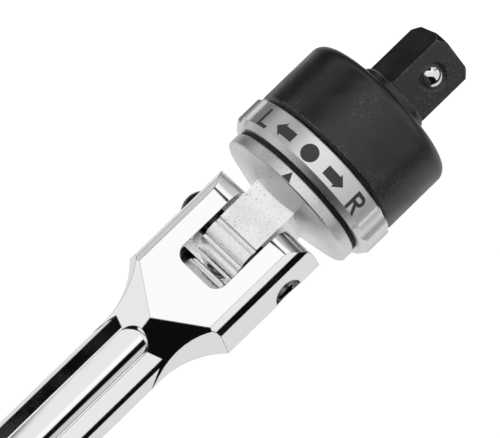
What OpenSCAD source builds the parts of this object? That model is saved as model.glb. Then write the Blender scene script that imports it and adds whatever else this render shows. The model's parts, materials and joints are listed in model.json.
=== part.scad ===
// Flex-head ratchet wrench, half-inch square drive.
// The drive axis lies on X with the head straight, +X out of the drive square.
// The origin is where the drive square leaves its collar, and +Z is the broad face of the handle.

/* [Overall] */
// Length from the tip of the drive square to the butt of the handle
overall_l = 430; // [380:1:480]

/* [Drive] */
// Width of the drive square across its flats
drive_sq = 12.7; // [12.2:0.1:13]
// Length of the drive square in front of its collar
drive_len = 16; // [15:0.1:20]
// Diameter that the square's corners are turned to
drive_corner_d = 17.8; // [16.6:0.1:17.9]
// Length of the turned lead at the tip of the square
drive_lead = 1.7; // [1:0.1:2.6]
// Diameter of the collar behind the square
collar_d = 18.4; // [17.8:0.1:20]
// Length of the collar
collar_len = 4; // [3:0.1:6]
// Diameter of the socket retaining ball
drive_ball_d = 6; // [5:0.1:6.4]
// How far the ball stands out of the square's face
drive_ball_proud = 1.5; // [0.6:0.05:1.6]
// Distance of the ball from the collar
drive_ball_reach = 8.4; // [7:0.1:10]
// Diameter of the staked dimple around the ball
stake_d = 7.4; // [6.6:0.1:7.8]
// Depth of the staked dimple
stake_depth = 0.35; // [0.2:0.05:0.6]

/* [Cup] */
// Outer diameter of the ratchet cup
cup_d = 41.7; // [40.5:0.1:43]
// Length of the ratchet cup
cup_len = 19.2; // [18.4:0.1:21]
// Rounding of the cup's front edge
cup_round = 2.7; // [1.5:0.1:3]
// Bevel of the cup's rear edge
cup_bevel = 0.8; // [0.4:0.1:1.2]
// Thickness of the cup's floor
cup_floor = 3.8; // [3.2:0.1:4.2]
// Number of ratchet teeth inside the cup
tooth_count = 48; // [48:12:60]
// Diameter over the roots of the internal teeth
tooth_root_d = 34.4; // [34.2:0.1:35]
// Height of the internal teeth
tooth_h = 1; // [0.8:0.05:1.05]

/* [Selector] */
// Outer diameter of the selector ring
ring_d = 43; // [42:0.1:45]
// Length of the selector ring
ring_len = 8; // [7:0.1:9.5]
// Axial length of the bevel on the ring's handle side
ring_bevel = 1.5; // [0.8:0.1:2]
// Thickness of the web inside the ring that carries the shift pins
ring_web = 1.5; // [1.2:0.1:2]
// Gap between the selector ring and the cup
cup_gap = 0.5; // [0.4:0.05:0.8]
// Swing of the selector to each side of neutral, in degrees
selector_swing = 22; // [20:0.5:23]
// Depth of the smooth label zone below the finger grip
label_recess = 0.6; // [0.3:0.05:0.8]
// Half angle of the smooth label zone
label_half_deg = 59; // [50:1:65]
// Direction of the index marks about the drive axis, from +Y through +Z
index_deg = 95; // [80:1:100]
// Number of finger scallops on the rest of the ring
scallop_count = 12; // [9:1:14]
// Depth of a finger scallop
scallop_depth = 0.8; // [0.4:0.05:1]
// Diameter of the two shift pins
shift_pin_d = 2; // [1.8:0.1:2.2]
// Diameter of the selector's detent ball
selector_ball_d = 3; // [2.5:0.1:3.5]

/* [Head base] */
// Distance from the pivot axis to the back of the flange rim
pivot_to_flange = 15.1; // [14.5:0.1:17]
// Diameter of the flange
flange_d = 37.7; // [37:0.1:40]
// Length of the flange rim
flange_rim = 3.1; // [2.6:0.1:4]
// Gap for the seal between the flange and the selector ring
seal_gap = 1.1; // [0.9:0.05:1.6]
// Diameter of the journal that the selector ring turns on
journal_d = 30; // [28.5:0.1:31]
// Diameter of the stub that carries the pawl carrier
stub_d = 11; // [10:0.1:12]
// Thickness of the tang between the fork's ears
tang_w = 11.8; // [11:0.1:13]
// Diameter of the knuckle about the pivot
knuckle_d = 17.4; // [16.6:0.1:18]
// Diameter of the knuckle's round end, seen from above
knuckle_plan_d = 18; // [17.6:0.1:19]
// Width of the flex detent notches
notch_w = 1.8; // [1.6:0.1:2]
// Depth of the flex detent notches
notch_depth = 0.45; // [0.4:0.05:0.55]
// Angle from one flex detent notch to the next, in degrees
notch_step = 30; // [30:15:45]
// Swing of the head to each side of straight, in degrees
flex_swing = 90; // [60:30:90]

/* [Pawls] */
// Distance of the pawl pins from the drive axis
pawl_pin_reach = 11.5; // [11.3:0.1:11.8]
// Diameter of the pawl pins
pawl_pin_d = 2.6; // [2.2:0.1:2.8]
// Turn of a pawl from neutral into mesh, in degrees
pawl_swing = 10; // [9.5:0.5:11]
// Length of the pawls along the drive axis
pawl_len = 10.2; // [9:0.1:10.4]
// Thickness of the carrier's rear flange
carrier_flange = 3.45; // [3.2:0.05:3.8]
// Thickness of the carrier's front cap
cap_t = 1.4; // [1:0.1:1.8]

/* [Fork] */
// Width of the fork over its ears
fork_w = 32.7; // [31:0.1:35]
// Height of the fork between its broad faces
fork_h = 18.6; // [17.4:0.1:19.4]
// Width of the flat on the fork's broad faces
fork_flat_w = 23.1; // [22:0.1:24]
// Width of the bevel along the fork's edges
fork_bevel_w = 1.5; // [1:0.1:1.8]
// Height of the bevel along the fork's edges
fork_bevel_h = 0.9; // [0.5:0.05:1.2]
// Height of the steep edge below the bevel
fork_edge_h = 1.95; // [1.2:0.05:2.4]
// Width of the steep edge below the bevel
fork_edge_w = 1.1; // [0.6:0.05:1.2]
// Distance from the pivot to the tips of the ears
ear_reach = 9.7; // [9:0.1:10.4]
// Rounding of the ears' tips, from the broad faces down
ear_round = 5.8; // [4.5:0.1:7]
// Distance from the pivot to the end of the full-width fork
fork_back = 19.5; // [18.5:0.1:22]
// Gap between the tang and each ear
slot_gap = 0.9; // [0.4:0.05:1.2]
// Distance from the pivot to the back edge of the slot
slot_back = 12.9; // [12.4:0.1:15]
// Gap between the knuckle and the hollow bottom of the slot
saddle_gap = 1.3; // [0.8:0.1:1.8]
// Corner radius at the bottom of the slot
slot_corner_r = 3; // [1:0.1:4]
// Radius of the hollow curve from the fork to the shank
neck_r = 20.5; // [18:0.5:24]
// Draft of the hollow curves, as inward run for each unit of height
neck_draft = 0.3; // [0.2:0.05:0.5]
// Distance from the pivot to the tip of the V at the foot of the broad face
vee_back = 27.3; // [26:0.1:30]
// Slope of the facets below the V, in degrees
facet_slope = 33.5; // [28:0.5:36]

/* [Pivot] */
// Diameter of the pivot screw
screw_d = 7.4; // [6.6:0.1:8]
// Diameter of the pivot screw's domed head
screw_head_d = 8.8; // [8.6:0.1:9.8]
// Depth of the spot face that the pivot screw's head sits in
ear_sink = 1.6; // [1.4:0.1:2]
// Height of the pivot screw's domed head
screw_head_h = 2.4; // [1.8:0.1:2.6]
// Depth of the screw's end below the far ear
screw_recess = 2.8; // [0.5:0.1:3]
// Diameter of the flex detent plunger
plunger_d = 4.9; // [4.2:0.1:5.4]
// Length of the flex detent plunger
plunger_len = 12.6; // [10:0.1:14]
// Depth of the plunger's bore below the slot
plunger_bore = 15.2; // [14.5:0.1:17]

/* [Handle] */
// Width of the shank
shank_w = 19.5; // [18.6:0.1:21]
// Thickness of the shank over its rims
shank_t = 9.4; // [8.8:0.1:11]
// Distance between the two rims of the flute
flute_w = 8.1; // [6.5:0.1:8.6]
// Depth of the flute below the rims
flute_depth = 1.6; // [1.2:0.1:2]
// Distance from the pivot to the tip of the flute
flute_back = 30.3; // [29:0.1:36]
// Width of the flat rims along the flute
rim_land = 0.3; // [0.2:0.05:0.6]
// Width of the shoulders beside the flute
shoulder_w = 3.2; // [2.8:0.1:3.6]
// Fall of the shoulders beside the flute, in degrees
shoulder_slope = 9.5; // [8:0.5:18]
// Width of the eased edges between the shoulders and the sides of the shank
shank_edge_w = 0.75; // [0.5:0.05:1.2]
// Height of the eased edges between the shoulders and the sides of the shank
shank_edge_h = 1.15; // [0.5:0.05:1.4]
// Length of the grip
grip_l = 118; // [90:1:140]
// Width of the grip
grip_w = 26; // [24:0.1:30]
// Thickness of the grip
grip_t = 16; // [14.5:0.1:18]
// Length of the taper from the shank to the grip
grip_taper = 22; // [12:1:30]
// Diameter of the hang hole
hang_d = 8; // [6:0.1:9]
// Distance of the hang hole from the butt
hang_back = 15; // [14:0.1:20]
// Thickness left between the spot faces of the hang hole
hang_t = 13; // [11:0.1:14]

/* [Fits] */
// Radial running clearance of pins, journals and bores
run_gap = 0.05; // [0.03:0.01:0.08]
// Clearance between faces that pass each other
face_gap = 0.05; // [0.03:0.01:0.1]
// Clearance of the pawl teeth in mesh
mesh_gap = 0.15; // [0.1:0.01:0.2]
// Clearance of pieces that sit tight and don't turn
seat_gap = 0.02; // [0.01:0.01:0.04]

/* [Hidden] */
$fn = 64;
eps = 0.01;
reach = 2 * fork_w;

// Stations along the drive axis, chained back from the collar's front face
cup_x1 = -collar_len;
cup_x0 = cup_x1 - cup_len;
ring_x1 = cup_x0 - cup_gap;
ring_x0 = ring_x1 - ring_len;
flange_x1 = ring_x0 - seal_gap;
flange_x0 = flange_x1 - flange_rim;
pivot_x = flange_x0 - pivot_to_flange;
butt_x = drive_len - overall_l;
grip_x1 = butt_x + grip_l;
web_x0 = ring_x1 - ring_web;
journal_x1 = web_x0 - face_gap;
carrier_x0 = ring_x1 + face_gap;
pocket_x0 = carrier_x0 + carrier_flange;
pawl_x0 = pocket_x0 + face_gap;
pawl_x1 = pawl_x0 + pawl_len;
cap_x0 = pawl_x1 + face_gap;
cap_x1 = cap_x0 + cap_t;
floor_x = cup_x1 - cup_floor;
ball_x = drive_ball_reach;

// Ratchet cup and carrier
root_r = tooth_root_d / 2;
tip_r = root_r - tooth_h;
land_h = 0.2;
land_r = tip_r - land_h;
carrier_r = land_r - run_gap;
lobe_gap = 0.6;
lobe_r = tip_r - lobe_gap;
hub_wall = 2.6;
hub_r = stub_d / 2 + hub_wall;
wire_r = 0.6;
wire_back = 1.5;
wire_x = cup_x0 + wire_back;
tooth_lap = 0.2;
tooth_x0 = pocket_x0 - tooth_lap;
relief_r = 4.2;
edge_ease = 0.3;

// Key between the stub and the carrier, and the screw that clamps the carrier's cap
key_w = 2;
key_half_h = 1.2;
cap_screw_r = 1.6;
cap_screw_depth = 8;
cap_head_r = 3.2;
cap_head_h = 1.6;

// Pawls: the left one lies on the +Y side, the right one is its mirror image
pawl_pin_deg = 70;
pawl_pivot = pawl_pin_reach * [cos(pawl_pin_deg), sin(pawl_pin_deg)];
boss_wall = 1.3;
pawl_boss_r = pawl_pin_d / 2 + boss_wall;
nose_in_r = 12.2;
nose_out_r = root_r + tooth_h;
arm_gap = 1.2;
arm_out_r = tip_r - arm_gap;
nose_deg0 = 8;
nose_deg1 = 36;
arm_deg1 = 72;
shift_reach = 12.5;
shift_deg = 30;
shift_depth = 3.3;
cam_gap = 0.1;
cam_over_deg = 7;
ride_over = 1;
spring_y = 12.2;
spring_seat_z = -8;
spring_top_z = 0.15;

// Flex detent and pivot
knuckle_r = knuckle_d / 2;
notch_r = (notch_w * notch_w / 4 + notch_depth * notch_depth) / (2 * notch_depth);
nose_gap = 0.12;
plunger_tip_r = notch_r - nose_gap;
plunger_x = pivot_x - knuckle_r - face_gap;
screw_bore_d = screw_d + 2 * run_gap;
ear_seat = fork_w / 2 - ear_sink;

// Brow of the shank as (half width, height), between a shoulder and the eased edge below it
shank_crest = flute_w / 2 + rim_land;
shank_brow = [shank_crest + shoulder_w, shank_t / 2 - shoulder_w * tan(shoulder_slope)];

// Edge of the fork as (height, half width), from the broad face to the middle of the side
fork_edge = [
    [fork_h / 2, fork_flat_w / 2],
    [fork_h / 2 - fork_bevel_h, fork_flat_w / 2 + fork_bevel_w],
    [fork_h / 2 - fork_bevel_h - fork_edge_h, fork_flat_w / 2 + fork_bevel_w + fork_edge_w],
    [0, fork_w / 2]];

// Drive ball
drive_ball_deg = 135;
drive_ball_r = drive_sq / 2 + drive_ball_proud - drive_ball_d / 2;
drive_bore_wall = 2.8;
drive_bore_end = drive_bore_wall - drive_sq / 2;

// Selector detent
detent_x = (ring_x0 + journal_x1) / 2;
detent_r = journal_d / 2 - seat_gap - selector_ball_d / 2;
detent_push = 0.4;
detent_floor = 8;

// Draws a flat shape of (y, z) points along X from x0 to x1
module along_x(x0, x1) {
    translate([x0, 0, 0]) rotate([90, 0, 90]) linear_extrude(x1 - x0) children();
}

// Turns a profile of (radius, x) points about the drive axis
module spin_x() {
    rotate([90, 0, 90]) rotate_extrude() children();
}

// A rod along X
module rod_x(r, x0, x1) {
    translate([x0, 0, 0]) rotate([0, 90, 0]) cylinder(r = r, h = x1 - x0);
}

// A rod along the pivot axis
module rod_pivot(r, y0, y1) {
    translate([pivot_x, y0, 0]) rotate([-90, 0, 0]) cylinder(r = r, h = y1 - y0);
}

function arc(r, a0, a1, n) = [for (i = [0 : n]) let (a = a0 + (a1 - a0) * i / n) r * [cos(a), sin(a)]];

function turned(p, c, a) = c + [
    (p[0] - c[0]) * cos(a) - (p[1] - c[1]) * sin(a),
    (p[0] - c[0]) * sin(a) + (p[1] - c[1]) * cos(a)];

// A coil of round wire that stands on the XY plane, with the wire's ends cut square
module coil(outer_d, wire_d, height, turns) {
    sides = 6;
    steps = 12 * turns;
    mean_r = (outer_d - wire_d) / 2;
    rise = height - wire_d;
    points = [for (i = [0 : steps]) for (j = [0 : sides - 1])
        let (a = 360 * turns * i / steps, b = 360 * j / sides, r = mean_r + wire_d / 2 * cos(b))
        [r * cos(a), r * sin(a), wire_d / 2 + rise * i / steps + wire_d / 2 * sin(b)]];
    walls = [for (i = [0 : steps - 1]) for (j = [0 : sides - 1])
        let (k = (j + 1) % sides)
        [i * sides + j, (i + 1) * sides + j, (i + 1) * sides + k, i * sides + k]];
    start = [for (j = [0 : sides - 1]) j];
    end = [for (j = [sides - 1 : -1 : 0]) steps * sides + j];
    polyhedron(points, concat([start], walls, [end]), convexity = 4);
}

// Section of the fork: flat broad faces, bevelled edges and drafted sides
module fork_section() {
    upper = [for (p = fork_edge) [p[1], p[0]]];
    right = concat(upper, [for (i = [2 : -1 : 0]) [upper[i][0], -upper[i][1]]]);
    left = [for (i = [len(right) - 1 : -1 : 0]) [-right[i][0], right[i][1]]];
    polygon(concat(right, left));
}

// Side view of the fork from the pivot, with the ears' tips rounded from both broad faces
module fork_side() {
    round_x = ear_reach - ear_round;
    round_z = fork_h / 2 - ear_round;
    translate([-reach, -fork_h / 2]) square([reach + round_x, fork_h]);
    translate([-reach, -round_z]) square([reach + ear_reach, 2 * round_z]);
    for (side = [-1, 1]) translate([round_x, side * round_z]) circle(r = ear_round);
}

// Side view of the slot from the pivot: hollow behind the knuckle and flared to both broad faces
module slot_side() {
    saddle_r = knuckle_r + saddle_gap;
    flare_share = 0.4;
    flare_z = flare_share * saddle_r;
    flare_x = sqrt(saddle_r * saddle_r - flare_z * flare_z);
    top = fork_h / 2;
    circle(r = saddle_r, $fn = 96);
    translate([0, -fork_h]) square([reach, 2 * fork_h]);
    for (side = [-1, 1]) polygon([[eps, 0], [-flare_x, side * flare_z], [-slot_back, side * top],
        [-slot_back, side * 2 * top], [eps, side * 2 * top]]);
}

// Draws a side view of (x, z) points from the pivot along Y, over a width about the middle
module across(width) {
    translate([pivot_x, width / 2, 0]) rotate([90, 0, 0]) linear_extrude(width) children();
}

// Hollow curves from the fork down to the shank, drafted to both sides of the parting line
module neck_cuts() {
    neck_back = fork_back + sqrt(neck_r * neck_r - pow(neck_r + shank_w / 2 - fork_w / 2, 2));
    fall = neck_draft * fork_h;
    for (up = [0, 1]) for (side = [0, 1]) mirror([0, 0, up]) mirror([0, side, 0]) {
        translate([pivot_x - neck_back, shank_w / 2 + neck_r, 0])
            cylinder(r1 = neck_r, r2 = neck_r + fall, h = fork_h, $fn = 96);
        along_x(pivot_x - reach, pivot_x - neck_back) polygon([[shank_w / 2, 0], [fork_w, 0],
            [fork_w, fork_h], [shank_w / 2 - fall, fork_h]]);
    }
}

// Sloping facets that run from the V at the foot of each broad face down to the shank
module facet_cuts() {
    vee_run = vee_back - fork_back;
    vee_deg = atan2(vee_run, fork_flat_w / 2);
    for (up = [0, 1]) for (side = [0, 1])
        mirror([0, 0, up]) mirror([0, side, 0])
            translate([pivot_x - vee_back, 0, fork_h / 2])
                rotate([0, 0, 180 - vee_deg]) rotate([0, facet_slope, 0])
                    translate([0, -reach, 0]) cube([reach, 2 * reach, reach]);
}

// Section of the shank: rims, sloped shoulders, eased edges and sides that meet in a ridge
module shank_section() {
    eased = shank_brow + [shank_edge_w, -shank_edge_h];
    right = [[shank_crest, shank_t / 2], shank_brow, eased, [shank_w / 2, 0]];
    side = concat(right, [for (i = [2 : -1 : 0]) [right[i][0], -right[i][1]]]);
    polygon(concat(side, [for (i = [6 : -1 : 0]) [-side[i][0], side[i][1]]]));
}

// Flutes along both broad faces of the shank, with upright round ends
module flute_cuts() {
    r = (flute_w * flute_w / 4 + flute_depth * flute_depth) / (2 * flute_depth);
    z = shank_t / 2 - flute_depth + r;
    end_r = (flute_w + rim_land) / 2;
    x1 = pivot_x - flute_back - end_r;
    x0 = grip_x1 + grip_taper + end_r;
    for (up = [0, 1]) mirror([0, 0, up]) intersection() {
        translate([0, 0, z]) rod_x(r, x0 - flute_w, x1 + flute_w);
        linear_extrude(2 * z) {
            translate([x0, -end_r]) square([x1 - x0, 2 * end_r]);
            for (x = [x0, x1]) translate([x, 0]) circle(r = end_r);
        }
    }
}

// Grip: a crowned oval bar with a round butt and a spot-faced hang hole
module grip() {
    crown_r = 40;
    spot_d = hang_d + 5;
    half = grip_t / 2;
    half_w = grip_w / 2;
    taper_x = grip_x1 + grip_taper;
    tuck = 0.2;
    tail_w = shank_brow[0] - tuck;
    tail_t = shank_brow[1] - tuck;
    difference() {
        intersection() {
            along_x(butt_x - eps, taper_x) intersection() {
                union() {
                    square([grip_w - grip_t, grip_t], center = true);
                    for (side = [-1, 1]) translate([side * (grip_w - grip_t) / 2, 0]) circle(r = half);
                }
                translate([0, half - crown_r]) circle(r = crown_r, $fn = 128);
                translate([0, crown_r - half]) circle(r = crown_r, $fn = 128);
            }
            translate([0, 0, -half]) linear_extrude(grip_t) union() {
                translate([butt_x + half_w, 0]) circle(d = grip_w, $fn = 96);
                polygon([[butt_x + half_w, -half_w], [grip_x1, -half_w], [taper_x, -tail_w],
                    [taper_x, tail_w], [grip_x1, half_w], [butt_x + half_w, half_w]]);
            }
            translate([0, grip_w / 2, 0]) rotate([90, 0, 0]) linear_extrude(grip_w) union() {
                translate([butt_x + half, 0]) circle(r = half);
                polygon([[butt_x + half, -half], [grip_x1, -half], [taper_x, -tail_t],
                    [taper_x, tail_t], [grip_x1, half], [butt_x + half, half]]);
            }
        }
        translate([butt_x + hang_back, 0, -grip_t]) cylinder(d = hang_d, h = 2 * grip_t);
        for (up = [0, 1]) mirror([0, 0, up])
            translate([butt_x + hang_back, 0, hang_t / 2]) cylinder(d = spot_d, h = grip_t);
    }
}

// Forged handle: fork, neck, fluted shank and grip in one piece
module handle() {
    run_out = vee_back + fork_h / 2 / tan(facet_slope);
    slot_w = tang_w + 2 * slot_gap;
    slot_front = 2 * ear_reach;
    corner_x = slot_corner_r - slot_back;
    corner_y = slot_w / 2 - slot_corner_r;
    seat_r = screw_head_d / 2 + 3 * run_gap;
    color("gainsboro") difference() {
        union() {
            difference() {
                intersection() {
                    along_x(pivot_x - run_out, pivot_x + reach) fork_section();
                    across(2 * fork_w) fork_side();
                }
                facet_cuts();
                neck_cuts();
            }
            along_x(grip_x1 + eps, pivot_x - fork_back) shank_section();
            grip();
        }
        flute_cuts();
        intersection() {
            across(2 * slot_w) slot_side();
            translate([pivot_x, 0, -fork_h]) linear_extrude(2 * fork_h) {
                translate([corner_x, -slot_w / 2]) square([slot_front - corner_x, slot_w]);
                translate([-slot_back, -corner_y]) square([slot_corner_r + eps, 2 * corner_y]);
                for (side = [-1, 1]) translate([corner_x, side * corner_y]) circle(r = slot_corner_r);
            }
        }
        rod_pivot(screw_bore_d / 2, -fork_w, fork_w);
        rod_pivot(seat_r, ear_seat, fork_w);
        rod_x(plunger_d / 2 + run_gap, pivot_x - slot_back - plunger_bore, pivot_x - knuckle_r);
    }
}

// Pivot screw: domed head on one ear, its socketed end sunk below the other
module pivot_screw() {
    far_y = screw_recess - fork_w / 2;
    socket_d = 4.6;
    socket_h = 3.2;
    dome_r = (pow(screw_head_d / 2, 2) + pow(screw_head_h, 2)) / (2 * screw_head_h);
    color("silver") difference() {
        union() {
            rod_pivot(screw_d / 2, far_y, ear_seat + eps);
            intersection() {
                rod_pivot(screw_head_d / 2, ear_seat, ear_seat + screw_head_h);
                translate([pivot_x, ear_seat + screw_head_h - dome_r, 0]) sphere(r = dome_r);
            }
        }
        translate([pivot_x, far_y - eps, 0]) rotate([-90, 0, 0]) cylinder(d = socket_d, h = socket_h, $fn = 6);
    }
}

// Flex detent plunger: a turned pin with a small round nose that drops into the knuckle's notches
module flex_plunger() {
    nose_x = plunger_x - plunger_tip_r;
    lip = plunger_tip_r * sin(45);
    taper = plunger_d / 2 - lip;
    color("dimgray") union() {
        translate([nose_x, 0, 0]) sphere(r = plunger_tip_r);
        spin_x() polygon([[0, plunger_x - plunger_len], [plunger_d / 2, plunger_x - plunger_len],
            [plunger_d / 2, nose_x + lip - taper], [lip, nose_x + lip], [0, nose_x + lip]]);
    }
}

// Coil spring behind the flex plunger
module flex_spring() {
    bore_x = pivot_x - slot_back - plunger_bore;
    wire_d = 0.7;
    coil_d = plunger_d - 0.5;
    color("lightsteelblue") translate([bore_x, 0, 0]) rotate([0, 90, 0])
        coil(coil_d, wire_d, plunger_x - plunger_len - bore_x, 5);
}

// Head base: tang, flange, selector journal and the stub that carries the pawls
module head_base() {
    rim_r = flange_d / 2;
    cone_r = knuckle_r - edge_ease;
    cone_x0 = flange_x0 - 2.7;
    tap_over = 1;
    color("lightgray") difference() {
        union() {
            intersection() {
                rod_pivot(knuckle_r, -tang_w / 2, tang_w / 2);
                translate([pivot_x, 0, -knuckle_d]) cylinder(d = knuckle_plan_d, h = 2 * knuckle_d);
            }
            translate([pivot_x, -tang_w / 2, -knuckle_r]) cube([pivot_to_flange, tang_w, knuckle_d]);
            spin_x() polygon([[0, cone_x0], [cone_r, cone_x0], [rim_r - edge_ease, flange_x0],
                [rim_r, flange_x0 + edge_ease], [rim_r, flange_x1 - edge_ease], [rim_r - edge_ease, flange_x1],
                [journal_d / 2, flange_x1], [journal_d / 2, journal_x1], [stub_d / 2, journal_x1],
                [stub_d / 2, pawl_x1], [0, pawl_x1]]);
        }
        rod_pivot(screw_bore_d / 2, -tang_w, tang_w);
        for (a = [-flex_swing : notch_step : flex_swing])
            translate([pivot_x, 0, 0]) rotate([0, 180 + a, 0])
                translate([knuckle_r - notch_depth + notch_r, -tang_w, 0]) rotate([-90, 0, 0])
                    cylinder(r = notch_r, h = 2 * tang_w, $fn = 48);
        translate([detent_x, 0, -journal_d / 2 - eps])
            cylinder(d = selector_ball_d + 2 * run_gap, h = journal_d / 2 - detent_floor + eps);
        translate([carrier_x0, -key_w / 2, -stub_d / 2 - eps])
            cube([pawl_x1 - carrier_x0 + eps, key_w, key_half_h + eps]);
        rod_x(cap_screw_r + eps, cap_x0 - cap_screw_depth - tap_over, cap_x0);
    }
}

// Rubber ring between the flange and the selector ring
module ring_seal() {
    r = seal_gap / 2 - 2 * seat_gap;
    color("black") spin_x() translate([flange_d / 2 - edge_ease - r, (flange_x1 + ring_x0) / 2])
        circle(r = r, $fn = 32);
}

// Selector ring: bevelled band with a smooth label zone, finger scallops and an inner web
module selector_ring() {
    r = ring_d / 2;
    bore_r = journal_d / 2 + run_gap;
    web_r = stub_d / 2 + 0.4;
    bevel_h = 1.2;
    scallop_r = 5;
    zone = 360 - 2 * label_half_deg;
    label_r = r - label_recess;
    clear_r = r + label_recess;
    detent_cup_d = selector_ball_d + 0.16;
    color("silver") difference() {
        spin_x() polygon([[bore_r, ring_x0], [r - bevel_h, ring_x0], [r, ring_x0 + ring_bevel],
            [r, ring_x1 - edge_ease], [r - edge_ease, ring_x1], [web_r, ring_x1], [web_r, web_x0],
            [bore_r, web_x0]]);
        rotate([90, 0, 90]) rotate([0, 0, index_deg - label_half_deg])
            rotate_extrude(angle = 2 * label_half_deg) polygon([[clear_r, ring_x0 - eps], [label_r - bevel_h - eps, ring_x0 - eps],
                [label_r, ring_x0 + ring_bevel], [label_r, ring_x1 - edge_ease],
                [label_r - edge_ease, ring_x1 + eps], [clear_r, ring_x1 + eps]]);
        for (i = [0 : scallop_count - 1])
            rotate([index_deg + label_half_deg + zone * (i + 0.5) / scallop_count, 0, 0])
                translate([ring_x0 - eps, r + scallop_r - scallop_depth, 0]) rotate([0, 90, 0])
                    cylinder(r = scallop_r, h = ring_len + 2 * eps);
        for (side = [-1, 1]) rotate([shift_angle(side), 0, 0])
            translate([web_x0 - eps, shift_reach, 0]) rotate([0, 90, 0])
                cylinder(d = shift_pin_d, h = ring_web + 2 * eps);
        for (step = [-1, 0, 1]) rotate([step * selector_swing, 0, 0])
            translate([detent_x, 0, -detent_r - detent_push]) sphere(d = detent_cup_d);
    }
}

function shift_angle(side) = 90 + side * (90 - shift_deg);

// Two dowels pressed into the ring's web that steer the pawls
module shift_pins() {
    color("gray") for (side = [-1, 1]) rotate([shift_angle(side), 0, 0])
        translate([web_x0, shift_reach, 0]) rotate([0, 90, 0])
            cylinder(d = shift_pin_d, h = pocket_x0 + shift_depth - web_x0);
}

// Detent ball that holds the selector at left, neutral and right
module selector_ball() {
    color("white") translate([detent_x, 0, -detent_r]) sphere(d = selector_ball_d);
}

// Coil spring behind the selector's detent ball
module selector_spring() {
    wire_d = 0.4;
    coil_d = selector_ball_d - 0.3;
    color("lightsteelblue") translate([detent_x, 0, -detent_floor]) mirror([0, 0, 1])
        coil(coil_d, wire_d, detent_r - selector_ball_d / 2 - detent_floor - seat_gap, 5);
}

// Pawl carrier: rear flange with arc slots for the shift pins, hub, and one lower lobe
module pawl_carrier() {
    slot_r = shift_pin_d / 2 + cam_gap;
    sweep = selector_swing + 1;
    lobe_deg = 14;
    rib_half_deg = 6;
    pocket_r = 1.7;
    color("darkgray") difference() {
        union() {
            spin_x() polygon([[0, carrier_x0], [carrier_r, carrier_x0], [carrier_r, pocket_x0], [0, pocket_x0]]);
            along_x(pocket_x0 - eps, pawl_x1) union() {
                circle(r = hub_r);
                polygon(concat([[0, 0]], arc(lobe_r, 180 + lobe_deg, 360 - lobe_deg, 40)));
                polygon(concat([[0, 0]], arc(lobe_r, 90 - rib_half_deg, 90 + rib_half_deg, 6)));
            }
        }
        rod_x(stub_d / 2 + seat_gap, carrier_x0 - eps, pawl_x1 + eps);
        for (side = [-1, 1]) {
            along_x(carrier_x0 - eps, pocket_x0 + eps) {
                polygon(concat(
                    arc(shift_reach + slot_r, shift_angle(side) - sweep, shift_angle(side) + sweep, 24),
                    arc(shift_reach - slot_r, shift_angle(side) + sweep, shift_angle(side) - sweep, 24)));
                for (end = [-1, 1])
                    rotate(shift_angle(side) + end * sweep) translate([shift_reach, 0]) circle(r = slot_r);
                translate([side * -pawl_pivot[0], pawl_pivot[1]]) circle(d = pawl_pin_d);
            }
            translate([(pawl_x0 + pawl_x1) / 2, side * spring_y, spring_seat_z])
                cylinder(r = pocket_r, h = -spring_seat_z);
        }
        translate([carrier_x0 - eps, -key_w / 2, -stub_d / 2 - key_half_h])
            cube([pawl_x1 - carrier_x0 + 2 * eps, key_w, 2 * key_half_h]);
        spin_x() translate([land_r, wire_x]) circle(r = wire_r + seat_gap, $fn = 32);
    }
}

// Key that stops the carrier turning on the stub
module carrier_key() {
    half_w = key_w / 2 - seat_gap;
    half_h = key_half_h - face_gap;
    color("dimgray") translate([carrier_x0, -half_w, -stub_d / 2 - half_h])
        cube([pawl_x1 - carrier_x0, 2 * half_w, 2 * half_h]);
}

// Outline of the ratchet teeth inside the cup, drawn inwards by a clearance
module tooth_outline(gap) {
    polygon([for (i = [0 : 2 * tooth_count - 1])
        let (a = 180 * i / tooth_count, r = (i % 2 == 0 ? tip_r : root_r) - gap) r * [cos(a), sin(a)]]);
}

// Path of a shift pin as the left pawl in mesh sees it, over the selector's swing t
function cam_point(t) = turned(
    shift_reach * [cos(shift_deg + t), sin(shift_deg + t)], pawl_pivot,
    pawl_swing - pawl_swing * t / selector_swing);

function cam_normal(t) = let (d = cam_point(t - 1) - cam_point(t + 1)) [d[1], -d[0]] / norm(d);

// Cam groove: its inner flank steers the pawl, its outer flank leaves room to ride over the teeth
module cam_groove() {
    side_r = shift_pin_d / 2 + cam_gap;
    span = selector_swing + cam_over_deg;
    ts = [for (i = [-12 : 12]) span * i / 12];
    inner = [for (t = ts) cam_point(t) + side_r * cam_normal(t)];
    outer = [for (i = [24 : -1 : 0]) cam_point(ts[i]) - (side_r + ride_over * i / 24) * cam_normal(ts[i])];
    polygon(concat(inner, outer));
}

// Pawl outline in mesh: toothed nose, arm and pivot boss
module pawl_outline() {
    difference() {
        intersection() {
            union() {
                polygon(concat(arc(nose_out_r, nose_deg0, nose_deg1, 10),
                    arc(arm_out_r, nose_deg1, arm_deg1, 12), arc(nose_in_r, arm_deg1, nose_deg0, 20)));
                translate(pawl_pivot) circle(r = pawl_boss_r);
            }
            tooth_outline(mesh_gap);
        }
        translate(pawl_pivot) circle(r = pawl_pin_d / 2 + run_gap);
    }
}

// The left pawl at neutral, turned out of mesh about its pin
module pawl() {
    module at_neutral() {
        translate(pawl_pivot) rotate(-pawl_swing) translate(-pawl_pivot) children();
    }
    difference() {
        along_x(pawl_x0, pawl_x1) at_neutral() pawl_outline();
        along_x(pawl_x0 - eps, pocket_x0 + shift_depth + cam_gap) at_neutral() cam_groove();
    }
}

module pawl_left() {
    color("slategray") pawl();
}

module pawl_right() {
    color("slategray") mirror([0, 1, 0]) pawl();
}

// Two pins that the pawls turn on, held in the carrier's flange and in the cap
module pawl_pins() {
    color("gray") for (side = [-1, 1])
        translate([0, side * pawl_pivot[0], pawl_pivot[1]]) rod_x(pawl_pin_d / 2, carrier_x0, cap_x1);
}

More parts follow.
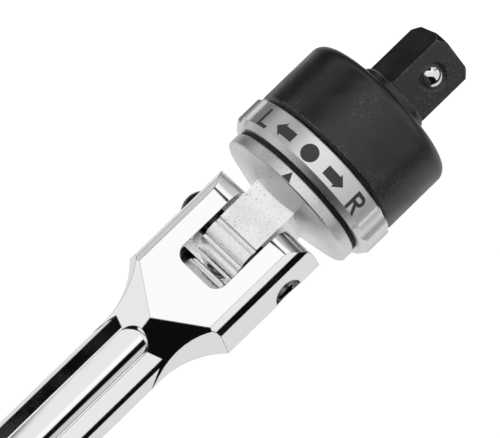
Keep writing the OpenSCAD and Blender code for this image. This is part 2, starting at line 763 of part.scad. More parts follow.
// Coil spring that pushes a pawl's nose out towards the teeth
module pawl_spring(side) {
    wire_d = 0.45;
    coil_d = 2.9;
    color("lightsteelblue") translate([(pawl_x0 + pawl_x1) / 2, side * spring_y, spring_seat_z])
        coil(coil_d, wire_d, spring_top_z - spring_seat_z, 6);
}

module pawl_spring_left() {
    pawl_spring(1);
}

module pawl_spring_right() {
    pawl_spring(-1);
}

// Front cap that closes the pawl pockets and carries the ends of the pawl pins
module carrier_cap() {
    color("darkgray") difference() {
        rod_x(lobe_r - edge_ease, cap_x0, cap_x1);
        rod_x(cap_screw_r + 2 * run_gap, cap_x0 - eps, cap_x1 + eps);
        for (side = [-1, 1]) translate([0, side * pawl_pivot[0], pawl_pivot[1]])
            rod_x(pawl_pin_d / 2, cap_x0 - eps, cap_x1 + eps);
    }
}

// Screw that clamps the cap and the carrier to the stub
module carrier_screw() {
    socket_r = 1.25;
    socket_x = cap_x1 + 0.5;
    color("silver") difference() {
        union() {
            rod_x(cap_screw_r, cap_x0 - cap_screw_depth, cap_x1 + eps);
            rod_x(cap_head_r, cap_x1, cap_x1 + cap_head_h);
        }
        rod_x(socket_r, socket_x, cap_x1 + cap_head_h + eps, $fn = 6);
    }
}

// Washer between the cap and the floor of the cup
module thrust_washer() {
    rim_r = lobe_r - 1.4;
    color("goldenrod") difference() {
        rod_x(rim_r, cap_x1 + seat_gap, floor_x - face_gap);
        rod_x(relief_r, cap_x1 - eps, floor_x + eps);
    }
}

// Split wire ring that keeps the cup on the carrier
module lock_ring() {
    split_w = 2;
    color("silver") difference() {
        spin_x() translate([land_r, wire_x]) circle(r = wire_r, $fn = 32);
        translate([wire_x, 0, land_r]) cube([4 * wire_r, split_w, 4 * wire_r], center = true);
    }
}

// Thin felt ring that closes the gap between the selector ring and the cup
module dust_seal() {
    inset = 1.9;
    color("black") difference() {
        rod_x(cup_d / 2 - inset, ring_x1 + face_gap, cup_x0 - face_gap);
        rod_x(carrier_r + seat_gap, ring_x1 - eps, cup_x0 + eps);
    }
}

// Driven piece: ratchet cup, collar and drive square in one forging
module drive_anvil() {
    r = cup_d / 2;
    half = drive_sq / 2;
    lead_fall = 0.9;
    lead_r = drive_corner_d / 2 - lead_fall * drive_lead;
    collar_r = collar_d / 2;
    collar_ease = 0.5;
    head_room = 0.6;
    stake_fall = 0.8;
    color([0.13, 0.13, 0.14]) difference() {
        union() {
            spin_x() difference() {
                union() {
                    polygon([[0, cup_x0], [r - cup_bevel, cup_x0], [r, cup_x0 + cup_bevel],
                        [r, cup_x1 - cup_round], [r - cup_round, cup_x1 - cup_round], [r - cup_round, cup_x1],
                        [0, cup_x1]]);
                    intersection() {
                        translate([r - cup_round, cup_x1 - cup_round]) circle(r = cup_round);
                        translate([r - cup_round, cup_x1 - cup_round]) square(cup_round);
                    }
                    polygon([[0, cup_x1 - eps], [collar_r - collar_ease, cup_x1 - eps],
                        [collar_r, cup_x1 + collar_ease], [collar_r, -collar_ease], [collar_r - collar_ease, 0],
                        [0, 0]]);
                }
            }
            intersection() {
                translate([-eps, 0, 0]) rotate([45, 0, 0]) translate([0, -half, -half])
                    cube([drive_len + eps, drive_sq, drive_sq]);
                spin_x() polygon([[0, -half], [drive_corner_d / 2, -half],
                    [drive_corner_d / 2, drive_len - drive_lead], [lead_r, drive_len], [0, drive_len]]);
            }
        }
        along_x(tooth_x0, floor_x) tooth_outline(0);
        rod_x(land_r, cup_x0 - eps, tooth_x0 + eps);
        spin_x() translate([land_r, wire_x]) circle(r = wire_r + run_gap, $fn = 32);
        rod_x(relief_r, floor_x - eps, cap_x1 + cap_head_h + head_room);
        translate([ball_x, 0, 0]) rotate([drive_ball_deg, 0, 0]) rotate([-90, 0, 0]) {
            translate([0, 0, drive_bore_end])
                cylinder(d = drive_ball_d + 2 * run_gap, h = drive_ball_r - drive_bore_end);
            translate([0, 0, drive_ball_r]) sphere(d = drive_ball_d + 2 * run_gap);
            translate([0, 0, half - stake_depth])
                cylinder(d1 = stake_d - 2 * stake_fall, d2 = stake_d, h = stake_depth + eps);
        }
    }
}

// Ball that holds a socket on the drive square
module drive_ball() {
    color("whitesmoke") rotate([drive_ball_deg, 0, 0])
        translate([ball_x, drive_ball_r, 0]) sphere(d = drive_ball_d);
}

// Coil spring behind the drive ball
module drive_spring() {
    wire_d = 0.6;
    coil_d = drive_ball_d - 0.9;
    color("lightsteelblue") translate([ball_x, 0, 0]) rotate([drive_ball_deg, 0, 0]) rotate([-90, 0, 0])
        translate([0, 0, drive_bore_end])
            coil(coil_d, wire_d, drive_ball_r - drive_ball_d / 2 - drive_bore_end - seat_gap, 4);
}

handle();
pivot_screw();
flex_plunger();
flex_spring();
head_base();
ring_seal();
selector_ring();
shift_pins();
selector_ball();
selector_spring();
pawl_carrier();
carrier_key();
pawl_left();
pawl_right();
pawl_pins();
pawl_spring_left();
pawl_spring_right();
carrier_cap();
carrier_screw();
thrust_washer();
lock_ring();
dust_seal();
drive_anvil();
drive_ball();
drive_spring();
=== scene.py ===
import json
import math

import bmesh
import bpy
from mathutils import Matrix, Vector


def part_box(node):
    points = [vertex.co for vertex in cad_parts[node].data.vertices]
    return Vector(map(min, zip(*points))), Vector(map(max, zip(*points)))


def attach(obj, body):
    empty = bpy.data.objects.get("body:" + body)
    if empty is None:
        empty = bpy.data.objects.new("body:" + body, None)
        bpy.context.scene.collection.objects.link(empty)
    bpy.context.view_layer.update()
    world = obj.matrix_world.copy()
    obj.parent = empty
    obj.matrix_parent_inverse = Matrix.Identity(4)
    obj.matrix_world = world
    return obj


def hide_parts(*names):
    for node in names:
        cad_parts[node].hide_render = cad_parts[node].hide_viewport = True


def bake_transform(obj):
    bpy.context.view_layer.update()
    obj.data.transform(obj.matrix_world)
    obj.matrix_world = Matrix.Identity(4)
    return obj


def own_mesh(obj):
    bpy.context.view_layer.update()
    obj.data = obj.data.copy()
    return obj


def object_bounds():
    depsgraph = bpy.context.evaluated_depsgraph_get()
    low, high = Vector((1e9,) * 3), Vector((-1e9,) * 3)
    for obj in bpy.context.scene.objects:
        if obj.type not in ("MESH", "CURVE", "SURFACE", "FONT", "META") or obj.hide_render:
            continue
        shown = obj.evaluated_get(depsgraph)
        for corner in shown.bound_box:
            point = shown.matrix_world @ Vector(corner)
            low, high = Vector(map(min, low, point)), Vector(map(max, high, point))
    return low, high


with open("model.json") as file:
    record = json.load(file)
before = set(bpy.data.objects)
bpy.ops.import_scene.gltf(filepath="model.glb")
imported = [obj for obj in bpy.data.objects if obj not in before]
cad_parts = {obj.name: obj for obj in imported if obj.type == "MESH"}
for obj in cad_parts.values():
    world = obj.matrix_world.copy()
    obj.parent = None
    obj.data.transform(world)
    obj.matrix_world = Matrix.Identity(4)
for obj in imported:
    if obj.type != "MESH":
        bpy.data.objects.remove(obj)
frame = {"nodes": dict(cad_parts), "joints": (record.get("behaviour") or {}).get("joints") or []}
cad_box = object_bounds()
nodes = frame["nodes"]
MM = 0.001


# Handle
# One steel forging: fork, neck, fluted shank and grip. It is ground, buffed and
# plated with bright chrome, so it shows faint polishing lines and a little haze.
# Its colour has painted shade: a thin dark line along every edge.

BEVEL_SAMPLES = 6
# Sockets of a Mix node for colours
MIX_A, MIX_B, MIX_RESULT = 6, 7, 2


def new_material(name):
    material = bpy.data.materials.new(name)
    material.use_nodes = True
    return material, material.node_tree.nodes, material.node_tree.links


def math_node(tree_nodes, links, operation, first, second=None, clamp=False):
    """The output of a math node on numbers or other nodes' outputs."""
    node = tree_nodes.new("ShaderNodeMath")
    node.operation = operation
    node.use_clamp = clamp
    for socket, value in zip(node.inputs, (first, second)):
        if value is None:
            continue
        if isinstance(value, (int, float)):
            socket.default_value = value
        else:
            links.new(value, socket)
    return node.outputs[0]


def group_shell(name, inputs, outputs):
    group = bpy.data.node_groups.new(name, "ShaderNodeTree")
    for label, kind, value in inputs:
        socket = group.interface.new_socket(label, in_out="INPUT", socket_type=kind)
        socket.default_value = value
    for label, kind in outputs:
        group.interface.new_socket(label, in_out="OUTPUT", socket_type=kind)
    enter = group.nodes.new("NodeGroupInput")
    leave = group.nodes.new("NodeGroupOutput")
    return group, enter, leave


def scratch_group():
    """Fine straight lines that run one way, as a mask from 0 to 1."""
    group, enter, leave = group_shell(
        "fine_lines",
        [("Stretch", "NodeSocketVector", (1, 1, 1)), ("Amount", "NodeSocketFloat", 0.5)],
        [("Mask", "NodeSocketFloat")])
    coords = group.nodes.new("ShaderNodeTexCoord")
    stretch = group.nodes.new("ShaderNodeVectorMath")
    stretch.operation = "MULTIPLY"
    noise = group.nodes.new("ShaderNodeTexNoise")
    noise.inputs["Scale"].default_value = 1.0
    noise.inputs["Detail"].default_value = 4
    edge = group.nodes.new("ShaderNodeMapRange")
    edge.inputs["From Min"].default_value = 0.45
    edge.inputs["From Max"].default_value = 0.75
    link = group.links.new
    link(coords.outputs["Object"], stretch.inputs[0])
    link(enter.outputs["Stretch"], stretch.inputs[1])
    link(stretch.outputs[0], noise.inputs["Vector"])
    link(noise.outputs["Fac"], edge.inputs["Value"])
    mask = math_node(group.nodes, group.links, "MULTIPLY",
                     edge.outputs["Result"], enter.outputs["Amount"])
    link(mask, leave.inputs["Mask"])
    return group


def patch_group():
    """Soft cloudy patches between two values, for haze, stain and uneven plating."""
    group, enter, leave = group_shell(
        "soft_patches",
        [("Scale", "NodeSocketFloat", 100.0), ("Low", "NodeSocketFloat", 0.0),
         ("High", "NodeSocketFloat", 1.0)],
        [("Value", "NodeSocketFloat")])
    coords = group.nodes.new("ShaderNodeTexCoord")
    noise = group.nodes.new("ShaderNodeTexNoise")
    noise.inputs["Detail"].default_value = 3
    span = group.nodes.new("ShaderNodeMapRange")
    span.interpolation_type = "SMOOTHSTEP"
    span.inputs["From Min"].default_value = 0.35
    span.inputs["From Max"].default_value = 0.65
    link = group.links.new
    link(coords.outputs["Object"], noise.inputs["Vector"])
    link(enter.outputs["Scale"], noise.inputs["Scale"])
    link(noise.outputs["Fac"], span.inputs["Value"])
    link(enter.outputs["Low"], span.inputs["To Min"])
    link(enter.outputs["High"], span.inputs["To Max"])
    link(span.outputs["Result"], leave.inputs["Value"])
    return group


def edge_group():
    """Edges as a whole line, used for painted edge shade, and the same rubbed by handling, each as
    a mask from 0 to 1.
    """
    group, enter, leave = group_shell(
        "edge_shade_and_wear",
        [("Radius", "NodeSocketFloat", 0.3 * MM), ("Scale", "NodeSocketFloat", 900.0)],
        [("Line", "NodeSocketFloat"), ("Mask", "NodeSocketFloat")])
    rounded = group.nodes.new("ShaderNodeBevel")
    rounded.samples = BEVEL_SAMPLES
    true_face = group.nodes.new("ShaderNodeNewGeometry")
    match = group.nodes.new("ShaderNodeVectorMath")
    match.operation = "DOT_PRODUCT"
    edge = group.nodes.new("ShaderNodeMapRange")
    edge.inputs["From Min"].default_value = 0.998
    edge.inputs["From Max"].default_value = 0.965
    coords = group.nodes.new("ShaderNodeTexCoord")
    noise = group.nodes.new("ShaderNodeTexNoise")
    noise.inputs["Detail"].default_value = 4
    broken = group.nodes.new("ShaderNodeMapRange")
    broken.inputs["From Min"].default_value = 0.42
    broken.inputs["From Max"].default_value = 0.62
    link = group.links.new
    link(enter.outputs["Radius"], rounded.inputs["Radius"])
    link(rounded.outputs["Normal"], match.inputs[0])
    link(true_face.outputs["Normal"], match.inputs[1])
    link(match.outputs["Value"], edge.inputs["Value"])
    link(coords.outputs["Object"], noise.inputs["Vector"])
    link(enter.outputs["Scale"], noise.inputs["Scale"])
    link(noise.outputs["Fac"], broken.inputs["Value"])
    rubbed = math_node(group.nodes, group.links, "MULTIPLY",
                       edge.outputs["Result"], broken.outputs["Result"])
    link(edge.outputs["Result"], leave.inputs["Line"])
    link(rubbed, leave.inputs["Mask"])
    return group


fine_lines = scratch_group()
soft_patches = patch_group()
edge_shade_and_wear = edge_group()


def place(tree_nodes, group, **values):
    node = tree_nodes.new("ShaderNodeGroup")
    node.node_tree = group
    for label, value in values.items():
        node.inputs[label].default_value = value
    return node


def bright_chrome():
    material, parts, links = new_material("bright_chrome")
    shader = parts["Principled BSDF"]
    shader.inputs["Metallic"].default_value = 1.0
    edges = place(parts, edge_shade_and_wear, Radius=0.22 * MM)
    # Painted shade: the chrome's colour turns dark in a thin line along every edge
    painted_edge_shade = parts.new("ShaderNodeMix")
    painted_edge_shade.data_type = "RGBA"
    painted_edge_shade.inputs[MIX_A].default_value = (0.96, 0.96, 0.96, 1)
    painted_edge_shade.inputs[MIX_B].default_value = (0.12, 0.12, 0.12, 1)
    links.new(edges.outputs["Line"], painted_edge_shade.inputs["Factor"])
    links.new(painted_edge_shade.outputs[MIX_RESULT], shader.inputs["Base Color"])
    haze = place(parts, soft_patches, Scale=120.0, Low=0.03, High=0.075)
    links.new(haze.outputs["Value"], shader.inputs["Roughness"])
    lines = place(parts, fine_lines, Stretch=(60, 2600, 2600), Amount=1.0)
    bump = parts.new("ShaderNodeBump")
    bump.inputs["Strength"].default_value = 0.012
    bump.inputs["Distance"].default_value = 0.02 * MM
    links.new(lines.outputs["Mask"], bump.inputs["Height"])
    buffed = parts.new("ShaderNodeBevel")
    buffed.samples = BEVEL_SAMPLES
    buffed.inputs["Radius"].default_value = 0.3 * MM
    links.new(buffed.outputs["Normal"], bump.inputs["Normal"])
    links.new(bump.outputs["Normal"], shader.inputs["Normal"])
    return material


def finish_node(name, material):
    data = nodes[name].data
    data.materials.clear()
    data.materials.append(material)


finish_node("handle", bright_chrome())


# Pivot screw
# A blackened screw through both ears. Its domed head sits on one ear and its socketed
# end is sunk below the other.

def plain_metal(name, colour, scale, low, high):
    """Metal of one colour whose roughness runs in soft patches from low to high."""
    material, parts, links = new_material(name)
    shader = parts["Principled BSDF"]
    shader.inputs["Metallic"].default_value = 1.0
    shader.inputs["Base Color"].default_value = colour
    haze = place(parts, soft_patches, Scale=scale, Low=low, High=high)
    links.new(haze.outputs["Value"], shader.inputs["Roughness"])
    return material


finish_node("pivot_screw",
            plain_metal("blackened_steel", (0.09, 0.09, 0.095, 1), scale=500.0, low=0.25, high=0.4))


# Flex detent
# A hardened plunger and a coil spring in the bottom of the slot. The plunger's nose
# drops into the notches of the knuckle.

def lined_metal(name, colour, stretch, amount, roughness):
    """Metal of one colour with fine tool lines that add to its roughness."""
    material, parts, links = new_material(name)
    shader = parts["Principled BSDF"]
    shader.inputs["Metallic"].default_value = 1.0
    shader.inputs["Base Color"].default_value = colour
    lines = place(parts, fine_lines, Stretch=stretch, Amount=amount)
    rough = math_node(parts, links, "ADD", lines.outputs["Mask"], roughness)
    links.new(rough, shader.inputs["Roughness"])
    return material


steel = lined_metal("ground_steel", (0.42, 0.42, 0.43, 1),
                    stretch=(3000, 700, 700), amount=0.25, roughness=0.25)
wire = plain_metal("spring_wire", (0.5, 0.51, 0.53, 1), scale=900.0, low=0.2, high=0.4)
finish_node("flex_plunger", steel)
finish_node("flex_spring", wire)


def coil_from(node):
    """A coil that stands for a CAD spring, which it hides."""
    coil = bpy.data.objects.new(node + "_coil", nodes[node].data.copy())
    bpy.context.scene.collection.objects.link(coil)
    coil.matrix_world = nodes[node].matrix_world
    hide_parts(node)
    return coil


def sprung_coil(node):
    """A coil in place of a CAD spring, with its placement baked into its mesh."""
    coil = coil_from(node)
    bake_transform(coil)


sprung_coil("flex_spring")


# Head base
# A forging with a notched tang, a cone and a flange rim. It is blasted and plated,
# which leaves a matt, slightly sandy skin with dark specks in the pits.

CONE_END_X = -39 * MM
RIM_START_X = -36.5 * MM
RIM_ROUGHER = 0.2


def sandy_chrome():
    material, parts, links = new_material("sandy_chrome")
    shader = parts["Principled BSDF"]
    shader.inputs["Metallic"].default_value = 1.0
    coords = parts.new("ShaderNodeTexCoord")
    grain = parts.new("ShaderNodeTexNoise")
    grain.inputs["Scale"].default_value = 2600
    grain.inputs["Detail"].default_value = 3
    links.new(coords.outputs["Object"], grain.inputs["Vector"])
    bump = parts.new("ShaderNodeBump")
    bump.inputs["Strength"].default_value = 0.09
    bump.inputs["Distance"].default_value = 0.05 * MM
    links.new(grain.outputs["Fac"], bump.inputs["Height"])
    links.new(bump.outputs["Normal"], shader.inputs["Normal"])
    pits = parts.new("ShaderNodeValToRGB")
    pits.color_ramp.elements[0].position = 0.28
    pits.color_ramp.elements[0].color = (0.42, 0.42, 0.42, 1)
    pits.color_ramp.elements[1].position = 0.4
    pits.color_ramp.elements[1].color = (0.93, 0.93, 0.92, 1)
    links.new(grain.outputs["Fac"], pits.inputs["Fac"])
    links.new(pits.outputs["Color"], shader.inputs["Base Color"])
    haze = place(parts, soft_patches, Scale=160.0, Low=0.2, High=0.28)
    along_axis = parts.new("ShaderNodeSeparateXYZ")
    links.new(coords.outputs["Object"], along_axis.inputs["Vector"])
    turned = parts.new("ShaderNodeMapRange")
    turned.inputs["From Min"].default_value = CONE_END_X
    turned.inputs["From Max"].default_value = RIM_START_X
    turned.inputs["To Max"].default_value = RIM_ROUGHER
    links.new(along_axis.outputs["X"], turned.inputs["Value"])
    rough = math_node(parts, links, "ADD", haze.outputs["Value"], turned.outputs["Result"])
    links.new(rough, shader.inputs["Roughness"])
    return material


finish_node("head_base", sandy_chrome())


# Seals
# Two rubber rings: one between the flange and the selector ring, and a thin one
# between the selector ring and the cup.

def seal_rubber():
    material, parts, links = new_material("seal_rubber")
    shader = parts["Principled BSDF"]
    shader.inputs["Base Color"].default_value = (0.012, 0.012, 0.012, 1)
    haze = place(parts, soft_patches, Scale=700.0, Low=0.55, High=0.75)
    links.new(haze.outputs["Value"], shader.inputs["Roughness"])
    return material


rubber = seal_rubber()
finish_node("ring_seal", rubber)
finish_node("dust_seal", rubber)


# Selector ring
# A turned band, satin plated, with finger scallops and a smooth zone for the marks.
# The marks are thin fills of dark grey enamel: L, arrows, a dot and R.

def mark_enamel():
    material, parts, links = new_material("mark_enamel")
    shader = parts["Principled BSDF"]
    haze = place(parts, soft_patches, Scale=1500.0, Low=0.4, High=0.6)
    links.new(haze.outputs["Value"], shader.inputs["Roughness"])
    tone = parts.new("ShaderNodeValToRGB")
    tone.color_ramp.elements[0].color = (0.045, 0.045, 0.047, 1)
    tone.color_ramp.elements[1].color = (0.075, 0.075, 0.078, 1)
    links.new(haze.outputs["Value"], tone.inputs["Fac"])
    links.new(tone.outputs["Color"], shader.inputs["Base Color"])
    return material


def round_points(radius, count, start=0.0, sweep=360.0):
    angles = [math.radians(start + sweep * i / count) for i in range(count + 1)]
    return [(radius * math.cos(a), radius * math.sin(a)) for a in angles]


def mark_on_band(name, faces, radius, x, degrees, body):
    """Lays flat faces, given in mm, on a round band: u runs round it, v along the drive axis."""
    sink, rise, cut, weld = 0.05 * MM, 0.012 * MM, 0.4 * MM, 0.002 * MM
    mesh = bmesh.new()
    for face in faces:
        mesh.faces.new([mesh.verts.new((u * MM, v * MM, 0)) for u, v in face])
    bmesh.ops.remove_doubles(mesh, verts=mesh.verts, dist=weld)
    spread = [v.co.x for v in mesh.verts]
    steps = int((max(spread) - min(spread)) / cut)
    for i in range(1, steps + 1):
        whole = mesh.verts[:] + mesh.edges[:] + mesh.faces[:]
        bmesh.ops.bisect_plane(
            mesh, geom=whole, plane_co=(min(spread) + i * cut, 0, 0), plane_no=(1, 0, 0))
    lifted = bmesh.ops.extrude_face_region(mesh, geom=mesh.faces[:])
    top = {v for v in lifted["geom"] if isinstance(v, bmesh.types.BMVert)}
    for v in mesh.verts:
        level = radius + (rise if v in top else -sink)
        angle = math.radians(degrees) + v.co.x / radius
        v.co = Vector((x + v.co.y, level * math.cos(angle), level * math.sin(angle)))
    bmesh.ops.recalc_face_normals(mesh, faces=mesh.faces)
    data = bpy.data.meshes.new(name)
    mesh.to_mesh(data)
    mesh.free()
    piece = bpy.data.objects.new(name, data)
    bpy.context.scene.collection.objects.link(piece)
    data.materials.append(enamel)
    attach(piece, body)


def arrow_faces(way):
    """A short block arrow that points along u, to the right for 1 and to the left for -1."""
    tail, neck, tip = -2.9, 0.7, 2.9
    shaft, head = 1.25, 1.95
    points = [(tail, -shaft), (neck, -shaft), (neck, -head), (tip, 0),
              (neck, head), (neck, shaft), (tail, shaft)]
    return [[(way * u, v) for u, v in points]]


def letter_l_faces(height, width, stroke):
    left, low = -width / 2, -height / 2
    stem, foot = left + stroke, low + stroke
    return [
        [(left, low), (stem, low), (stem, low + height), (left, low + height)],
        [(stem, low), (left + width, low), (left + width, foot), (stem, foot)]]


def letter_r_faces(height, width, stroke):
    left, low, high = -width / 2, -height / 2, height / 2
    stem, right_edge = left + stroke, left + width
    outer = 0.29 * height
    inner = outer - stroke
    bend, middle = right_edge - outer, high - outer
    waist = middle - outer
    leg_left, leg_right = bend - 0.9 * stroke, bend + 0.25 * stroke
    foot_left = right_edge - 1.15 * stroke
    count = 12
    arms = [
        [(left, low), (stem, low), (stem, high), (left, high)],
        [(stem, high - stroke), (bend, high - stroke), (bend, high), (stem, high)],
        [(stem, waist), (bend, waist), (bend, middle - inner), (stem, middle - inner)],
        [(leg_left, waist), (foot_left, low), (right_edge, low), (leg_right, waist)]]
    rim = round_points(outer, count, 90, -180)
    eye = round_points(inner, count, 90, -180)
    for i in range(count):
        corners = (rim[i], rim[i + 1], eye[i + 1], eye[i])
        arms.append([(bend + u, middle + v) for u, v in corners])
    return arms


finish_node("selector_ring",
            lined_metal("satin_chrome", (0.95, 0.95, 0.94, 1),
                        stretch=(4200, 160, 160), amount=0.06, roughness=0.42))
finish_node("shift_pins", steel)
enamel = mark_enamel()
LABEL_RADIUS = 20.9 * MM
LABEL_FROM_EDGE = 4.05 * MM
INDEX_DEG = 95
MARK_STEP = 22.2
L_NEARER_DEG = 3.5
LETTER = {"height": 5.0, "width": 3.6, "stroke": 0.92}
DOT_RADIUS, DOT_SIDES = 2.2, 40
ring_edge_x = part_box("selector_ring")[0].x
label_x = ring_edge_x + LABEL_FROM_EDGE
for mark, faces, degrees in (
        ("mark_left", letter_l_faces(**LETTER), INDEX_DEG - 2 * MARK_STEP + L_NEARER_DEG),
        ("arrow_left", arrow_faces(-1), INDEX_DEG - MARK_STEP),
        ("dot_neutral", [round_points(DOT_RADIUS, DOT_SIDES)[:-1]], INDEX_DEG),
        ("arrow_right", arrow_faces(1), INDEX_DEG + MARK_STEP),
        ("mark_right", letter_r_faces(**LETTER), INDEX_DEG + 2 * MARK_STEP)):
    mark_on_band(mark, faces, LABEL_RADIUS, label_x, degrees, "selector")


# Index mark
# A small triangle on the flange rim, filled like the ring's marks. It points at the
# dot when the selector is at neutral.

FLANGE_RADIUS = 18.85 * MM
INDEX_BEFORE_EDGE = 2.65 * MM
INDEX_FACES = [[(-1.25, -1.2), (1.25, -1.2), (0, 1.2)]]
index_x = ring_edge_x - INDEX_BEFORE_EDGE
mark_on_band("index_mark", INDEX_FACES, FLANGE_RADIUS, index_x, INDEX_DEG, "head")


# Selector detent
# A bearing ball and a coil spring in the journal, under the selector ring. They hold
# the ring at left, neutral and right.

ball_steel = plain_metal("bearing_steel", (0.86, 0.86, 0.87, 1), scale=500.0, low=0.05, high=0.12)
finish_node("selector_ball", ball_steel)
finish_node("selector_spring", wire)
sprung_coil("selector_spring")


# Pawls and their carrier
# Hardened and ground pieces inside the cup: carrier, key, two pawls with pins and
# springs, cap, screw, bronze washer and wire ring. The cup hides them all.

for inner in ("pawl_carrier", "carrier_key", "pawl_left", "pawl_right", "pawl_pins",
              "carrier_cap", "carrier_screw"):
    finish_node(inner, steel)
for inner in ("pawl_spring_left", "pawl_spring_right", "lock_ring"):
    finish_node(inner, wire)
finish_node("thrust_washer",
            plain_metal("washer_bronze", (0.7, 0.45, 0.2, 1), scale=400.0, low=0.2, high=0.35))

# A pawl swings sideways over its spring; the spring's coil stays with the head, in a mesh of its
# own
for side in ("left", "right"):
    pawl_coil = coil_from("pawl_spring_" + side)
    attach(pawl_coil, "head")
    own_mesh(pawl_coil)


# Drive anvil
# Cup, collar and square in one steel forging with a black phosphate skin. The skin is
# matt and dark, with pale scuffs on the cup and worn edges on the square.

RUBBED_SHARE = 0.7


def black_phosphate():
    material, parts, links = new_material("black_phosphate")
    shader = parts["Principled BSDF"]
    shader.inputs["Specular IOR Level"].default_value = 0.7
    mottle = place(parts, soft_patches, Scale=260.0, Low=0.0, High=1.0)
    tone = parts.new("ShaderNodeValToRGB")
    tone.color_ramp.elements[0].color = (0.009, 0.009, 0.0095, 1)
    tone.color_ramp.elements[1].color = (0.013, 0.013, 0.0135, 1)
    links.new(mottle.outputs["Value"], tone.inputs["Fac"])
    where = place(parts, soft_patches, Scale=75.0, Low=-1.4, High=1.0)
    nicks = place(parts, fine_lines, Stretch=(3300, 1000, 1000), Amount=1.0)
    cross = place(parts, fine_lines, Stretch=(850, 2700, 3000), Amount=1.0)
    scuffs = math_node(parts, links, "MULTIPLY", nicks.outputs["Mask"], cross.outputs["Mask"])
    spread = math_node(parts, links, "MULTIPLY", scuffs, where.outputs["Value"], clamp=True)
    edges = place(parts, edge_shade_and_wear, Radius=0.35 * MM, Scale=800.0)
    rubbed = math_node(parts, links, "MULTIPLY", edges.outputs["Mask"], RUBBED_SHARE)
    worn = math_node(parts, links, "MAXIMUM", spread, rubbed)
    bare = parts.new("ShaderNodeMix")
    bare.data_type = "RGBA"
    links.new(worn, bare.inputs["Factor"])
    links.new(tone.outputs["Color"], bare.inputs[MIX_A])
    bare.inputs[MIX_B].default_value = (0.26, 0.26, 0.26, 1)
    links.new(bare.outputs[MIX_RESULT], shader.inputs["Base Color"])
    haze = place(parts, soft_patches, Scale=180.0, Low=0.33, High=0.42)
    links.new(haze.outputs["Value"], shader.inputs["Roughness"])
    coords = parts.new("ShaderNodeTexCoord")
    grit = parts.new("ShaderNodeTexNoise")
    grit.inputs["Scale"].default_value = 5200
    links.new(coords.outputs["Object"], grit.inputs["Vector"])
    bump = parts.new("ShaderNodeBump")
    bump.inputs["Strength"].default_value = 0.15
    bump.inputs["Distance"].default_value = 0.03 * MM
    links.new(grit.outputs["Fac"], bump.inputs["Height"])
    rounded = parts.new("ShaderNodeBevel")
    rounded.samples = BEVEL_SAMPLES
    rounded.inputs["Radius"].default_value = 0.25 * MM
    links.new(rounded.outputs["Normal"], bump.inputs["Normal"])
    links.new(bump.outputs["Normal"], shader.inputs["Normal"])
    return material


finish_node("drive_anvil", black_phosphate())


# Socket ball
# A polished bearing ball staked into one face of the square, with a coil spring
# behind it.

finish_node("drive_ball", ball_steel)
finish_node("drive_spring", wire)
sprung_coil("drive_spring")


# Camera
# The photograph looks down on the tool's broad face from the handle's side, with the
# drive end up and to the right.

PHOTO_W, PHOTO_H = 500, 438
PIVOT_PIXEL = (239.3, 247.3)
PIXELS_PER_MM = 4.35
AXIS_DEG = 44.1
CAMERA_DISTANCE = 0.9
CAMERA_SIDE = (-0.163, -0.285, 0.945)
toward = Vector(CAMERA_SIDE).normalized()
along = (Vector((1, 0, 0)) - toward * toward.x).normalized()
across = toward.cross(along)
turn = math.radians(AXIS_DEG)
right = along * math.cos(turn) - across * math.sin(turn)
up = along * math.sin(turn) + across * math.cos(turn)
pivot = Vector(next(j["pos_m"] for j in frame["joints"] if j["name"] == "head_flex"))
aim = pivot + right * ((PHOTO_W / 2 - PIVOT_PIXEL[0]) / PIXELS_PER_MM * MM)
aim += up * ((PIVOT_PIXEL[1] - PHOTO_H / 2) / PIXELS_PER_MM * MM)
camera_data = bpy.data.cameras.new("camera")
camera_data.sensor_width = 36
camera_data.lens = camera_data.sensor_width * CAMERA_DISTANCE / (PHOTO_W / PIXELS_PER_MM * MM)
camera_data.clip_end = 10
camera = bpy.data.objects.new("camera", camera_data)
bpy.context.scene.collection.objects.link(camera)
camera.matrix_world = Matrix((right, up, toward)).transposed().to_4x4()
camera.location = aim + toward * CAMERA_DISTANCE
bpy.context.scene.camera = camera


# Studio
# A white roof with a soft box to the left and right, a grey card behind and a pale
# table below. The dark gaps between them give the chrome its dark bands. The floor
# takes the shadow, isn't reflected and is low enough for the head's swing.

SOFT_EDGE = 0.03
BOX_LIGHT, BOX_TAPER, BOX_NEAR_LEFT_DIM = 0.835, 1.25, 0.45
ROOF_LIGHT, ROOF_LAMP = 0.84, 0.16
LOW_CARD_LIGHT = 0.6
TABLE_LIGHT, TABLE_DROP = 0.73, 0.2
GAP_LIGHT = 0.004
bpy.context.scene.view_settings.view_transform = "Standard"
world = bpy.data.worlds.new("studio")
world.use_nodes = True
bpy.context.scene.world = world
sky = world.node_tree.nodes
wires = world.node_tree.links
background = sky["Background"]
sky_way = sky.new("ShaderNodeTexCoord").outputs["Generated"]


def sky_math(operation, first, second=None):
    return math_node(sky, wires, operation, first, second)


def sky_product(first, *others):
    for other in others:
        first = sky_math("MULTIPLY", first, other)
    return first


def sky_step(value, low, high):
    """0 at low and 1 at high, with a soft change between them."""
    node = sky.new("ShaderNodeMapRange")
    node.interpolation_type = "SMOOTHSTEP"
    node.inputs["From Min"].default_value = low
    node.inputs["From Max"].default_value = high
    wires.new(value, node.inputs["Value"])
    return node.outputs["Result"]


def sky_share(direction):
    """How far the sky's direction runs along another one, from -1 to 1."""
    node = sky.new("ShaderNodeVectorMath")
    node.operation = "DOT_PRODUCT"
    wires.new(sky_way, node.inputs[0])
    node.inputs[1].default_value = direction
    return node.outputs["Value"]


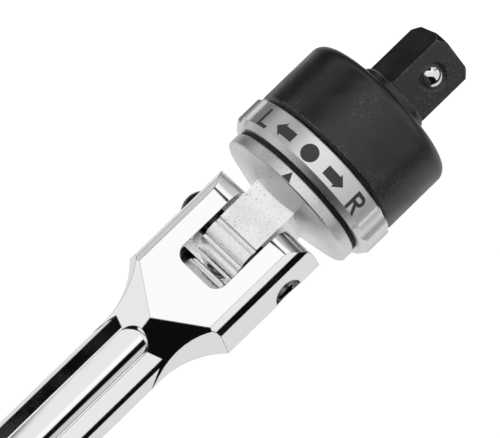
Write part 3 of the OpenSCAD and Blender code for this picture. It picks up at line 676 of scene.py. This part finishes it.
height = sky_share((0, 0, 1))
side_way = sky_share(Vector((right.x, right.y, 0)).normalized())
end_way = sky_share(Vector((up.x, up.y, 0)).normalized())
side_share = sky_math("ABSOLUTE", side_way)
ends_share = sky_math("ABSOLUTE", end_way)
box_width = sky_math("SUBTRACT", side_share, sky_product(ends_share, BOX_TAPER))
near_left = sky_product(sky_step(end_way, -0.05, -0.25), sky_step(side_way, -0.1, -0.3))
boxes = sky_product(
    sky_step(box_width, -SOFT_EDGE, SOFT_EDGE),
    sky_step(height, -SOFT_EDGE, SOFT_EDGE),
    sky_math("SUBTRACT", BOX_LIGHT, sky_product(near_left, BOX_NEAR_LEFT_DIM)))
roof_lamp = sky_product(sky_step(end_way, 0.14, 0.22), ROOF_LAMP)
roof = sky_product(
    sky_step(height, 0.78, 0.82),
    sky_step(end_way, -0.49, -0.41),
    sky_step(end_way, 0.46, 0.4),
    sky_math("ADD", roof_lamp, ROOF_LIGHT))
low_card = sky_product(
    sky_step(height, 0.08, 0.16), sky_step(height, 0.6, 0.5), LOW_CARD_LIGHT)
far_card = sky_product(sky_step(height, 0.05, 0.8), sky_step(side_way, 0.08, 0.16))
card = sky_product(
    sky_step(sky_math("SUBTRACT", end_way, side_share), -SOFT_EDGE, SOFT_EDGE),
    sky_math("MAXIMUM", low_card, far_card))
table_drop = sky_product(sky_step(end_way, 0.5, 0.7), TABLE_DROP)
table = sky_product(
    sky_step(sky_math("ADD", height, table_drop), -0.28, -0.38), TABLE_LIGHT)
lit = GAP_LIGHT
for light in (boxes, roof, card, table):
    lit = sky_math("MAXIMUM", light, lit)
path = sky.new("ShaderNodeLightPath")
strength = sky.new("ShaderNodeMix")
wires.new(path.outputs["Is Camera Ray"], strength.inputs["Factor"])
wires.new(lit, strength.inputs["A"])
strength.inputs["B"].default_value = 1.0
background.inputs["Color"].default_value = (1, 1, 1, 1)
wires.new(strength.outputs["Result"], background.inputs["Strength"])

FLOOR_HALF = 3.0
FLOOR_GAP = 2 * MM
FLOOR_GLOW = 0.6
floor_z = pivot.z - (cad_box[1].x - pivot.x) - FLOOR_GAP
floor_corners = [(-FLOOR_HALF, -FLOOR_HALF, floor_z), (FLOOR_HALF, -FLOOR_HALF, floor_z),
                 (FLOOR_HALF, FLOOR_HALF, floor_z), (-FLOOR_HALF, FLOOR_HALF, floor_z)]
floor_mesh = bpy.data.meshes.new("floor")
floor_mesh.from_pydata(floor_corners, [], [(0, 1, 2, 3)])
floor = bpy.data.objects.new("floor", floor_mesh)
bpy.context.scene.collection.objects.link(floor)
floor.visible_glossy = False
floor_material, floor_parts, floor_links = new_material("pale_floor")
floor_shader = floor_parts["Principled BSDF"]
floor_shader.inputs["Base Color"].default_value = (0.9, 0.9, 0.9, 1)
floor_shader.inputs["Roughness"].default_value = 0.9
floor_path = floor_parts.new("ShaderNodeLightPath")
floor_glow = math_node(floor_parts, floor_links, "MULTIPLY",
                       floor_path.outputs["Is Camera Ray"], FLOOR_GLOW)
floor_shader.inputs["Emission Color"].default_value = (1, 1, 1, 1)
floor_links.new(floor_glow, floor_shader.inputs["Emission Strength"])
floor_mesh.materials.append(floor_material)
